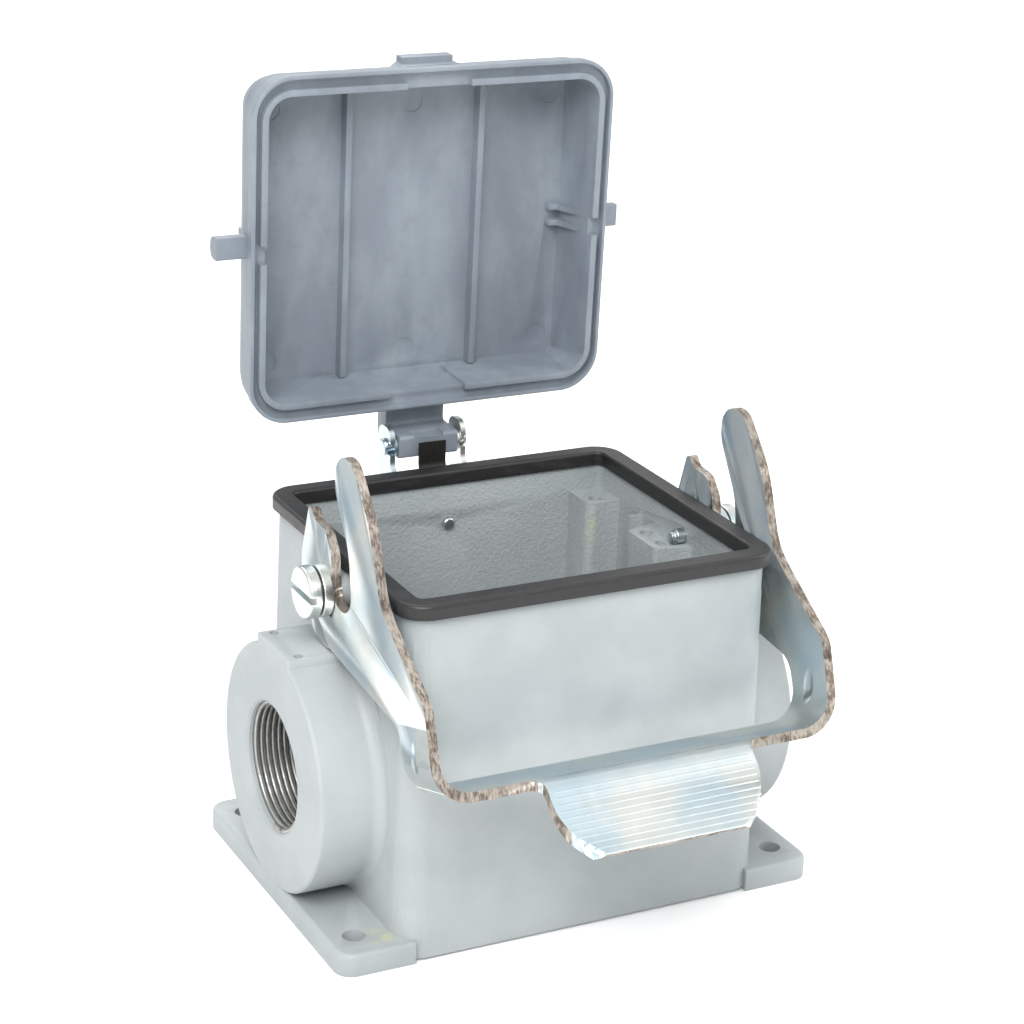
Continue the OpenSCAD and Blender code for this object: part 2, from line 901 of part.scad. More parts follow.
// Side view of an ear, with a pin seat that is open to the front.
module ear_outline() {
  difference() {
    polygon(rounded([
      [plate_y, plate_bottom, 0],
      [plate_y + bracket_t + 1, plate_bottom, 2],
      [pin_y + 4.4, pin_z - 7, 4],
      [pin_y + 4.4, pin_z + 5.4, 3],
      [pin_y - 3.2, pin_z + 5.4, 3],
      [pin_y - 3.2, pin_z - 4.6, 3],
      [plate_y + 3.2, plate_top, 3],
      [plate_y, plate_top, 0]
    ]));
    translate([pin_y, pin_z])
      circle(d = pin_d + 2 * turn_gap);
    translate([pin_y - 5, pin_z - pin_d / 2 - turn_gap])
      square([5, pin_d + 2 * turn_gap]);
  }
}

module hinge_bracket() {
  color(zinc)
    difference() {
      union() {
        for (x = [-ear_out, ear_in])
          translate([x, 0, 0])
            rotate([90, 0, 90])
              linear_extrude(bracket_t)
                ear_outline();
        translate([-ear_out, plate_y, plate_bottom])
          cube([2 * ear_out, bracket_t, plate_top - plate_bottom]);
      }
      translate([0, plate_y - 1, bracket_screw_z])
        rotate([-90, 0, 0])
          cylinder(h = bracket_t + 2, d = bracket_screw_d + 2 * turn_gap);
    }
}

module hinge_pin() {
  end_x = ear_out + side_gap;
  head = 1;
  color(zinc)
    translate([0, pin_y, pin_z])
      rotate([90, 0, 90])
        rotate_extrude()
          polygon(rounded([
            [0, -end_x - head, 0],
            [pin_d / 2 + 0.7, -end_x - head, 0.6],
            [pin_d / 2 + 0.7, -end_x, 0],
            [pin_d / 2, -end_x, 0],
            [pin_d / 2, end_x, 0],
            [pin_d / 2 + 0.7, end_x, 0],
            [pin_d / 2 + 0.7, end_x + head, 0.6],
            [0, end_x + head, 0]
          ]));
}

module hinge_washer_right() {
  gap = ear_in - knuckle_w / 2;
  t = gap - 2 * 0.15;
  color(zinc)
    translate([knuckle_w / 2 + 0.15, pin_y, pin_z])
      difference() {
        rod_x(0, t, 5.8);
        rod_x(-1, t + 1, pin_d + 2 * turn_gap);
      }
}

module hinge_washer_left() {
  mirror([1, 0, 0]) hinge_washer_right();
}

// Strip spring clamped under the bracket screw, which bears on the knuckle and holds the cover open.
module leaf_spring() {
  foot_y = plate_y + bracket_t;
  color(strip_black)
    difference() {
      side_profile(rounded([
        [foot_y, bracket_screw_z - 4.5, 0],
        [foot_y + leaf_t, bracket_screw_z - 4.5, 0],
        [foot_y + leaf_t, plate_top - 2, 3],
        [leaf_y + leaf_t, pin_z - 4.4, 3],
        [leaf_y + leaf_t, pin_z + 1.9, 0],
        [leaf_y, pin_z + 1.9, 0],
        [leaf_y, pin_z - 4.3, 3],
        [foot_y, plate_top - 1.9, 3]
      ]), leaf_w);
      translate([0, foot_y - 1, bracket_screw_z])
        rotate([-90, 0, 0])
          cylinder(h = 3, d = bracket_screw_d + 2 * turn_gap);
    }
}

module bracket_washer() {
  face = plate_y + bracket_t + leaf_t;
  color(zinc)
    translate([0, face, bracket_screw_z])
      rotate([-90, 0, 0])
        difference() {
          cylinder(h = 0.6, d = 6.6);
          translate([0, 0, -1])
            cylinder(h = 3, d = bracket_screw_d + 2 * turn_gap);
        }
}

module bracket_screw() {
  face = plate_y + bracket_t + leaf_t + 0.6;
  tail_y = neck_hy - wall - 1.2;
  color(zinc)
    translate([0, 0, bracket_screw_z])
      difference() {
        rotate([-90, 0, 0])
          rotate_extrude()
            polygon(rounded([
              [0, tail_y, 0],
              [bracket_screw_d / 2, tail_y, 0.5],
              [bracket_screw_d / 2, face, 0],
              [3, face, 0.2],
              [3, face + 2.2, 0.9],
              [0, face + 2.2, 0]
            ]));
        translate([-5, face + 1.2, -0.4])
          cube([10, 2, 0.8]);
      }
}

housing();
rim_gasket();
locking_lever();
pivot_screw_left();
pivot_screw_right();
pivot_bush_left();
pivot_bush_right();
pivot_washer_left();
pivot_washer_right();
protective_cover();
hinge_bracket();
hinge_pin();
hinge_washer_left();
hinge_washer_right();
leaf_spring();
bracket_screw();
bracket_washer();
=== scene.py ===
"""Visual model of a surface-mount housing of a heavy duty rectangular connector.

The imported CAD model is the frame. Each CAD node is shown by a merged, smooth-shaded copy with
softened edges. The pieces that a CAD solid is too plain for, such as thread and grip lines, are
added to it.
"""

import logging
import math
from dataclasses import dataclass
from enum import Enum
from typing import Any, Mapping

import bmesh
import bpy
from mathutils import Matrix, Vector


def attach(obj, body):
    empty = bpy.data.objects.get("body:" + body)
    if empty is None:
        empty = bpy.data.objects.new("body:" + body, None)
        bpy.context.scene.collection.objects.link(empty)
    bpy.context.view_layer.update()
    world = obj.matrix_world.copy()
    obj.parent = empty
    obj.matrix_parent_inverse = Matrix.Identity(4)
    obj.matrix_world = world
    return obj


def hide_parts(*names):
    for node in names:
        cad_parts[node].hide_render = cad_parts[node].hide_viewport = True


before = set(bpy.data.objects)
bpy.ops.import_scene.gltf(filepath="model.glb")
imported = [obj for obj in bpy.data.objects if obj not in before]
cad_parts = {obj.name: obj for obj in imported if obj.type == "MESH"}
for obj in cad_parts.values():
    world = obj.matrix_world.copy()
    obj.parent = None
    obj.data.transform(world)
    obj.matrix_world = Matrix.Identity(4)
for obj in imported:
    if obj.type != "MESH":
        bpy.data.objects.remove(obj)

log = logging.getLogger("connector_housing")

# The object's sizes and the camera's offset are in millimetres. The lamps, their aim and the
# floor are in metres. Angles are in degrees.
MM = 0.001
MERGE_DISTANCE = 0.002
FLAT_ANGLE = 0.6
SOFTENED_ANGLE = 38

Colour = tuple[float, float, float]
Point = tuple[float, float, float]


class Body(Enum):
    """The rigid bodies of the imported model."""

    HOUSING = "housing"
    LEVER = "lever"
    COVER = "cover"


class Side(Enum):
    """The two ends of the housing, as the sign of X."""

    LEFT = -1
    RIGHT = 1


def linear(colour: Colour, alpha: float = 1.0) -> tuple[float, float, float, float]:
    """Turns a display colour into a linear one.

    Args:
        colour: Red, green and blue from 0 to 255.
        alpha: Opacity.

    Returns:
        The linear colour that a shader socket takes.
    """
    parts = [c / 255 for c in colour]
    low = [p / 12.92 if p <= 0.04045 else ((p + 0.055) / 1.055) ** 2.4 for p in parts]
    return (low[0], low[1], low[2], alpha)


# ---- Nodes ----


class Wire:
    """A node's output that can stand in arithmetic: each operator adds a Math node to its graph."""

    def __init__(self, graph: "Graph", socket: bpy.types.NodeSocket) -> None:
        """Keeps the graph and the output socket."""
        self.graph = graph
        self.socket = socket

    def math(self, operation: str, *values: Any) -> "Wire":
        """Adds one Math node.

        Args:
            operation: The node's operation.
            values: Its inputs in order, as wires or numbers.

        Returns:
            The node's result.
        """
        return self.graph.node("ShaderNodeMath", {"operation": operation}, dict(enumerate(values))).out(0)

    def __add__(self, other: Any) -> "Wire":
        """Sum."""
        return self.math("ADD", self, other)

    def __radd__(self, other: Any) -> "Wire":
        """Sum, with the number first."""
        return self.math("ADD", other, self)

    def __sub__(self, other: Any) -> "Wire":
        """Difference."""
        return self.math("SUBTRACT", self, other)

    def __rsub__(self, other: Any) -> "Wire":
        """Difference, with the number first."""
        return self.math("SUBTRACT", other, self)

    def __mul__(self, other: Any) -> "Wire":
        """Product."""
        return self.math("MULTIPLY", self, other)

    def __rmul__(self, other: Any) -> "Wire":
        """Product, with the number first."""
        return self.math("MULTIPLY", other, self)

    def __truediv__(self, other: Any) -> "Wire":
        """Quotient."""
        return self.math("DIVIDE", self, other)

    def __rtruediv__(self, other: Any) -> "Wire":
        """Quotient, with the number first."""
        return self.math("DIVIDE", other, self)

    def __pow__(self, other: Any) -> "Wire":
        """Power."""
        return self.math("POWER", self, other)

    def __abs__(self) -> "Wire":
        """Size without sign."""
        return self.math("ABSOLUTE", self)

    def at_least(self, other: Any) -> "Wire":
        """The larger of two values."""
        return self.math("MAXIMUM", self, other)


class NodeHandle:
    """One node of a graph, with its outputs as wires."""

    def __init__(self, graph: "Graph", node: bpy.types.Node) -> None:
        """Keeps the graph and the node."""
        self.graph = graph
        self.node = node

    def out(self, name: int | str = 0) -> Wire:
        """One of the node's outputs."""
        return Wire(self.graph, self.node.outputs[name])


class Graph:
    """A node tree that is built node by node."""

    def __init__(self, tree: bpy.types.NodeTree) -> None:
        """Keeps the tree."""
        self.tree = tree

    def node(
        self,
        kind: str,
        settings: Mapping[str, Any] | None = None,
        inputs: Mapping[int | str, Any] | None = None,
    ) -> NodeHandle:
        """Adds a node.

        Args:
            kind: The node's type.
            settings: Its settings, set before its inputs are. The key stops takes a ramp's stops.
            inputs: Values, wires or handles for its sockets, by name or place.

        Returns:
            The new node.
        """
        made = self.tree.nodes.new(kind)
        for name, value in (settings or {}).items():
            if name == "stops":
                ramp = made.color_ramp
                while len(ramp.elements) < len(value):
                    ramp.elements.new(0.5)
                for element, (place, colour) in zip(ramp.elements, value):
                    element.position = place
                    element.color = colour
            else:
                setattr(made, name, value)
        for name, value in (inputs or {}).items():
            socket = made.inputs[name]
            if isinstance(value, NodeHandle):
                value = value.out()
            if isinstance(value, Wire):
                self.tree.links.new(value.socket, socket)
            else:
                socket.default_value = value
        return NodeHandle(self, made)


class Shader(Graph):
    """The node tree of one material, with the patterns that the finishes share."""

    def __init__(self, name: str) -> None:
        """Makes an empty material."""
        self.material = bpy.data.materials.new(name)
        self.material.use_nodes = True
        self.material.node_tree.nodes.clear()
        super().__init__(self.material.node_tree)
        self.place = self.node("ShaderNodeTexCoord").out("Object")

    def axes(self) -> tuple[Wire, Wire, Wire]:
        """The three object coordinates in millimetres."""
        parts = self.node("ShaderNodeSeparateXYZ", None, {0: self.place})
        return (parts.out(0) * 1000, parts.out(1) * 1000, parts.out(2) * 1000)

    def noise(
        self, grain: Point | float, detail: float = 2.0, roughness: float = 0.5, shift: float = 0.0
    ) -> Wire:
        """Smooth noise of a given grain.

        Args:
            grain: Size of the grain in millimetres, the same each way or along X, Y and Z.
            detail: Octaves.
            roughness: Weight of the fine octaves.
            shift: Moves the pattern, so that two of them differ.

        Returns:
            A value around 0.5.
        """
        sizes = grain if isinstance(grain, tuple) else (grain, grain, grain)
        mapped = self.node(
            "ShaderNodeMapping",
            None,
            {
                "Vector": self.place,
                "Location": (shift, shift, shift),
                "Scale": tuple(1 / (s * MM) for s in sizes),
            },
        )
        return self.node(
            "ShaderNodeTexNoise",
            None,
            {"Vector": mapped, "Scale": 1.0, "Detail": detail, "Roughness": roughness},
        ).out(0)

    def ramp(self, value: Wire, low: float, high: float) -> Wire:
        """Maps a value to 0 at low and 1 at high, smoothly and held at the ends."""
        return self.node(
            "ShaderNodeMapRange",
            {"interpolation_type": "SMOOTHSTEP"},
            {"Value": value, "From Min": low, "From Max": high},
        ).out(0)

    def mix(self, share: Any, first: Any, second: Any) -> Wire:
        """Blends two colours.

        Args:
            share: Weight of the second.
            first: Display colour or wire.
            second: Display colour or wire.

        Returns:
            The blended colour.
        """
        ends = [c if isinstance(c, Wire) else linear(c) for c in (first, second)]
        return self.node(
            "ShaderNodeMix", {"data_type": "RGBA"}, {0: share, 6: ends[0], 7: ends[1]}
        ).out(2)

    def bump(self, height: Wire, depth: float, normal: Wire | None = None) -> Wire:
        """Turns a height from 0 to 1 into a normal.

        Args:
            height: The pattern.
            depth: Its full height in millimetres.
            normal: A normal to build on.

        Returns:
            The bumped normal.
        """
        inputs: dict[int | str, Any] = {"Height": height, "Distance": depth * MM, "Strength": 1.0}
        if normal is not None:
            inputs["Normal"] = normal
        return self.node("ShaderNodeBump", None, inputs).out()

    def spot(self, centre: Point, radii: Point) -> Wire:
        """A soft spot: 1 at its centre, 0 at its edge.

        Args:
            centre: Its place in millimetres.
            radii: Its half sizes in millimetres.

        Returns:
            The mask.
        """
        terms = [((a - c) / r) ** 2 for a, c, r in zip(self.axes(), centre, radii)]
        return self.ramp(terms[0] + terms[1] + terms[2], 1.0, 0.0)

    def finish(self, inputs: Mapping[str, Any]) -> bpy.types.Material:
        """Closes the material with one surface shader.

        Args:
            inputs: Values and wires for the shader's own sockets.

        Returns:
            The material.
        """
        surface = self.node("ShaderNodeBsdfPrincipled", None, inputs)
        self.node("ShaderNodeOutputMaterial", None, {"Surface": surface})
        return self.material


# ---- Finishes ----


@dataclass(frozen=True)
class PowderCoat:
    """Grey powder coat over a die casting, coarser and with painted shade on the inside of the body."""

    name: str = "grey_powder_coat"
    colour: Colour = (160, 165, 166)
    shade: Colour = (150, 156, 157)
    stain: Colour = (176, 178, 140)
    # Darker grey that paints shade over the inside of the body.
    painted_inner_shade: Colour = (118, 124, 125)
    pit: Colour = (110, 114, 115)
    inside: Point = (44.6, 38.8, 4.2)
    foot_stain: tuple[Point, Point] = ((-51, -37, 5.5), (6, 5, 2.5))
    post_stain: tuple[Point, Point] = ((36.5, 28.5, 73), (2.2, 2.5, 6))

    def material(self) -> bpy.types.Material:
        """Builds the material."""
        s = Shader(self.name)
        x, y, z = s.axes()
        mottle = s.noise(18, 3)
        colour = s.mix(s.ramp(mottle, 0.3, 0.7), self.colour, self.shade)
        stains = s.spot(*self.foot_stain).at_least(s.spot(*self.post_stain))
        colour = s.mix(stains * s.ramp(s.noise(1.6, 4), 0.42, 0.62) * 0.75, colour, self.stain)
        within = (
            s.ramp(abs(x), self.inside[0] + 0.3, self.inside[0])
            * s.ramp(abs(y), self.inside[1] + 0.3, self.inside[1])
            * s.ramp(z, self.inside[2] - 0.5, self.inside[2])
        )
        # Painted shade: the inside of the body is mixed a third of the way towards a darker grey.
        colour = s.mix(within * 0.35, colour, self.painted_inner_shade)
        pits = s.ramp(s.noise(0.55, 3), 0.62, 0.8)
        colour = s.mix(pits * 0.16, colour, self.pit)
        peel = s.noise(0.5, 2, 0.5) * 0.55 + s.noise(1.9, 2, 0.5, 7.0) * 0.45
        coarse = s.noise(0.9, 3, 0.6, 3.0)
        normal = s.bump(peel, 0.09)
        normal = s.bump(coarse * within, 0.32, normal)
        return s.finish(
            {
                "Base Color": colour,
                "Roughness": 0.4 + s.noise(4, 3, 0.6, 11.0) * 0.16,
                "Normal": normal,
                "IOR": 1.48,
            }
        )


@dataclass(frozen=True)
class Moulding:
    """Satin grey plastic of the cover, a little lighter where it has been handled."""

    name: str = "cover_grey_plastic"
    colour: Colour = (112, 120, 129)
    light: Colour = (128, 136, 144)
    edge: Colour = (104, 108, 116)
    speck: Colour = (150, 156, 162)

    def material(self) -> bpy.types.Material:
        """Builds the material."""
        s = Shader(self.name)
        cloud = s.noise((14, 14, 30), 4, 0.6)
        colour = s.mix(s.ramp(cloud, 0.35, 0.72), self.colour, self.light)
        colour = s.mix(s.ramp(s.noise(5, 4, 0.65, 5.0), 0.5, 0.75) * 0.35, colour, self.edge)
        specks = s.ramp(s.noise(0.35, 2, 0.5, 2.0), 0.68, 0.78)
        colour = s.mix(specks * 0.25, colour, self.speck)
        grain = s.noise(0.28, 2, 0.5) * 0.6 + s.noise(1.4, 2, 0.5, 4.0) * 0.4
        return s.finish(
            {
                "Base Color": colour,
                "Roughness": 0.4 + cloud * 0.2,
                "Normal": s.bump(grain, 0.05),
                "IOR": 1.5,
            }
        )


@dataclass(frozen=True)
class Rubber:
    """Black moulded rubber with a soft shine and a little dust."""

    name: str = "black_seal_rubber"
    colour: Colour = (30, 29, 29)
    dust: Colour = (92, 92, 92)

    def material(self) -> bpy.types.Material:
        """Builds the material."""
        s = Shader(self.name)
        specks = s.ramp(s.noise(0.45, 2, 0.5), 0.7, 0.78)
        film = s.ramp(s.noise((6, 6, 2), 4, 0.6, 3.0), 0.45, 0.8)
        colour = s.mix(film * 0.12 + specks * 0.35, self.colour, self.dust)
        return s.finish(
            {
                "Base Color": colour,
                "Roughness": 0.42 + film * 0.2,
                "Normal": s.bump(s.noise(0.4, 2), 0.03),
                "IOR": 1.5,
            }
        )


@dataclass(frozen=True)
class ZincPlate:
    """Bright zinc plate with a cool sheen, rolling streaks and faint scratches."""

    name: str = "bright_zinc_plate"
    warm: Colour = (212, 214, 210)
    cool: Colour = (184, 200, 208)
    streak: Point = (2.0, 9.0, 9.0)
    roughness: float = 0.26
    scratch: Colour = (150, 154, 154)
    dents: tuple[Point, ...] = ()
    dent_radii: Point = (6, 2.1, 4.6)
    dent_depth: float = 0.9

    def material(self) -> bpy.types.Material:
        """Builds the material."""
        s = Shader(self.name)
        sheen = s.ramp(s.noise(16, 3, 0.5), 0.3, 0.7)
        colour = s.mix(sheen, self.warm, self.cool)
        fine = s.noise(tuple(c / 12 for c in self.streak), 3, 0.6, 2.0)
        colour = s.mix(s.ramp(fine, 0.55, 0.85) * 0.22, colour, self.scratch)
        rough = self.roughness + s.noise(self.streak, 4, 0.6, 9.0) * 0.22
        normal = s.bump(fine, 0.012)
        height = s.noise(6, 2) * 0.5
        normal = s.bump(height, 0.16, normal)
        for dent in self.dents:
            side = math.copysign(1.0, dent[0])
            x = s.axes()[0]
            outside = s.ramp(x * side, abs(dent[0]) - 0.4, abs(dent[0]) + 0.4)
            normal = s.bump(s.spot(dent, self.dent_radii) * (1 - 2 * outside), self.dent_depth, normal)
        return s.finish({"Base Color": colour, "Metallic": 1.0, "Roughness": rough, "Normal": normal})


@dataclass(frozen=True)
class ShearedEdge:
    """Cut edge of plated sheet, duller and browner than its faces."""

    name: str = "sheared_edge"
    colour: Colour = (176, 168, 158)
    dark: Colour = (104, 92, 84)

    def material(self) -> bpy.types.Material:
        """Builds the material."""
        s = Shader(self.name)
        tear = s.noise((0.5, 1.6, 1.6), 3, 0.6)
        patch = s.noise(5, 3, 0.6, 4.0)
        colour = s.mix(s.ramp(tear * 0.5 + patch * 0.5, 0.4, 0.62), self.colour, self.dark)
        return s.finish(
            {
                "Base Color": colour,
                "Metallic": 0.85,
                "Roughness": 0.34 + patch * 0.25,
                "Normal": s.bump(tear, 0.12),
            }
        )


@dataclass(frozen=True)
class BareCut:
    """Machined metal with fine turning marks."""

    name: str = "machined_thread"
    colour: Colour = (176, 176, 172)
    dark: Colour = (92, 92, 90)
    metallic: float = 0.9

    def material(self) -> bpy.types.Material:
        """Builds the material."""
        s = Shader(self.name)
        marks = s.noise((0.5, 3, 3), 3, 0.6)
        colour = s.mix(s.ramp(marks, 0.5, 0.8), self.colour, self.dark)
        return s.finish(
            {
                "Base Color": colour,
                "Metallic": self.metallic,
                "Roughness": 0.3 + marks * 0.2,
                "Normal": s.bump(marks, 0.03),
            }
        )


# ---- Shared making of pieces ----


@dataclass
class NodeCopy:
    """A merged copy of a CAD node with softened edges, which stands for it."""

    node: str
    body: Body
    slot: str
    materials: tuple[bpy.types.Material, ...]
    edge: float = 0.0
    smooth: float = 32.0
    segments: int = 2

    def build(self) -> bpy.types.Object:
        """Copies the node's mesh, merges it, softens and shades it.

        Returns:
            The new piece.
        """
        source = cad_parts[self.node]
        mesh = source.data.copy()
        mesh.name = self.node + "_shell"
        mesh.materials.clear()
        work = bmesh.new()
        work.from_mesh(mesh)
        bmesh.ops.remove_doubles(work, verts=work.verts, dist=MERGE_DISTANCE * MM)
        bmesh.ops.dissolve_limit(
            work,
            angle_limit=math.radians(FLAT_ANGLE),
            verts=work.verts,
            edges=work.edges,
            use_dissolve_boundaries=False,
        )
        work.to_mesh(mesh)
        work.free()
        piece = bpy.data.objects.new(self.node + "_shell", mesh)
        bpy.context.scene.collection.objects.link(piece)
        if self.edge > 0:
            self.soften(piece)
        mesh = piece.data
        for material in self.materials:
            mesh.materials.append(material)
        self.shade(mesh)
        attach(piece, self.body.value)
        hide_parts(self.node)
        log.info("%s: %d faces, on %s", piece.name, len(mesh.polygons), self.body.value)
        return piece

    def soften(self, piece: bpy.types.Object) -> None:
        """Rounds the sharp edges of a piece and keeps the result as its mesh."""
        bevel = piece.modifiers.new("soft_edges", "BEVEL")
        bevel.width = self.edge * MM
        bevel.segments = self.segments
        bevel.limit_method = "ANGLE"
        bevel.angle_limit = math.radians(SOFTENED_ANGLE)
        bevel.use_clamp_overlap = True
        bevel.miter_outer = "MITER_ARC"
        settled = bpy.data.meshes.new_from_object(piece.evaluated_get(bpy.context.evaluated_depsgraph_get()))
        piece.modifiers.clear()
        old = piece.data
        piece.data = settled
        settled.name = old.name + "_mesh"
        bpy.data.meshes.remove(old)

    def shade(self, mesh: bpy.types.Mesh) -> None:
        """Shades the mesh smooth except across its sharp edges."""
        mesh.shade_smooth()
        mesh.set_sharp_from_angle(angle=math.radians(self.smooth))


class GeometryTree(Graph):
    """A Geometry Nodes tree with named inputs."""

    def __init__(self, name: str) -> None:
        """Makes a tree with its geometry output."""
        group = bpy.data.node_groups.new(name, "GeometryNodeTree")
        group.interface.new_socket("Geometry", in_out="OUTPUT", socket_type="NodeSocketGeometry")
        super().__init__(group)
        self.values: dict[str, Any] = {}
        self.entry = group.nodes.new("NodeGroupInput")

    def size(self, name: str, value: float | int | bpy.types.Material) -> Wire:
        """Adds a named input.

        Args:
            name: The input's name.
            value: The value that the modifier gives it.

        Returns:
            The input inside the tree.
        """
        kind = "NodeSocketFloat"
        if isinstance(value, int):
            kind = "NodeSocketInt"
        if isinstance(value, bpy.types.Material):
            kind = "NodeSocketMaterial"
        made = self.tree.interface.new_socket(name, in_out="INPUT", socket_type=kind)
        self.values[made.identifier] = value
        return Wire(self, self.entry.outputs[name])

    def close(self, geometry: Wire, material: Wire) -> None:
        """Realizes the geometry, gives it its material and ends the tree."""
        real = self.node("GeometryNodeRealizeInstances", None, {0: geometry})
        dressed = self.node("GeometryNodeSetMaterial", None, {"Geometry": real, "Material": material})
        self.node("NodeGroupOutput", None, {0: dressed})

    def piece(self, name: str, body: Body, slot: str) -> bpy.types.Object:
        """Turns the tree's result into a plain mesh that rides on a body.

        Args:
            name: The piece's name.
            body: The body that it moves with.
            slot: The record's material slot. Not used.

        Returns:
            The new piece.
        """
        made = bpy.data.objects.new(name, bpy.data.meshes.new(name + "_seed"))
        bpy.context.scene.collection.objects.link(made)
        modifier = made.modifiers.new("build", "NODES")
        modifier.node_group = self.tree
        for identifier, value in self.values.items():
            modifier[identifier] = value
        result = bpy.data.meshes.new_from_object(made.evaluated_get(bpy.context.evaluated_depsgraph_get()))
        made.modifiers.remove(modifier)
        made.data = result
        result.name = name + "_mesh"
        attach(made, body.value)
        log.info("%s: %d faces, on %s", name, len(result.polygons), body.value)
        return made


# ---- Sub-assemblies ----


@dataclass
class CastBody:
    """The cast housing with the thread of its cable entry."""

    entry_radius: float = 16.0
    entry_height: float = 34.8
    entry_face: float = -63.85
    thread_pitch: float = 1.5
    thread_height: float = 0.85
    thread_length: float = 17.5
    thread_setback: float = 1.1
    ridge_sink: float = 0.38
    ridge_spread: float = 0.98

    def build(self) -> None:
        """Builds the casting and its thread."""
        NodeCopy("housing", Body.HOUSING, "housing_casting", (PowderCoat().material(),), edge=0.35).build()
        self.thread()

    def thread(self) -> bpy.types.Object:
        """Sweeps a ridge along a helix inside the entry.

        Returns:
            The thread.
        """
        tree = GeometryTree("cable_entry_thread")
        radius = tree.size("Radius", self.entry_radius * MM)
        pitch = tree.size("Pitch", self.thread_pitch * MM)
        length = tree.size("Length", self.thread_length * MM)
        height = tree.size("Ridge height", self.thread_height * MM)
        start = tree.size("Start", (self.entry_face + self.thread_setback) * MM)
        level = tree.size("Height of the axis", self.entry_height * MM)
        finish = tree.size("Finish", BareCut().material())
        line_radius = radius - height * self.ridge_sink
        helix = tree.node(
            "GeometryNodeCurveSpiral",
            None,
            {
                "Resolution": 40,
                "Rotations": length / pitch,
                "Start Radius": line_radius,
                "End Radius": line_radius,
                "Height": length,
            },
        )
        upright = tree.node("GeometryNodeSetCurveNormal", {"mode": "Z_UP"}, {"Curve": helix})
        ridge = tree.node(
            "GeometryNodeCurvePrimitiveCircle", None, {"Resolution": 3, "Radius": height * self.ridge_spread}
        )
        swept = tree.node(
            "GeometryNodeCurveToMesh", None, {"Curve": upright, "Profile Curve": ridge, "Fill Caps": True}
        )
        place = tree.node("ShaderNodeCombineXYZ", None, {0: start, 2: level})
        turned = tree.node(
            "GeometryNodeTransform",
            None,
            {"Geometry": swept, "Translation": place, "Rotation": (0.0, math.radians(90), 0.0)},
        )
        tree.close(turned.out(), finish)
        return tree.piece("cable_entry_thread", Body.HOUSING, "housing_casting")


@dataclass
class Seal:
    """The gasket on the rim of the neck."""

    def build(self) -> None:
        """Builds the gasket."""
        NodeCopy("rim_gasket", Body.HOUSING, "gasket", (Rubber().material(),), smooth=50).build()


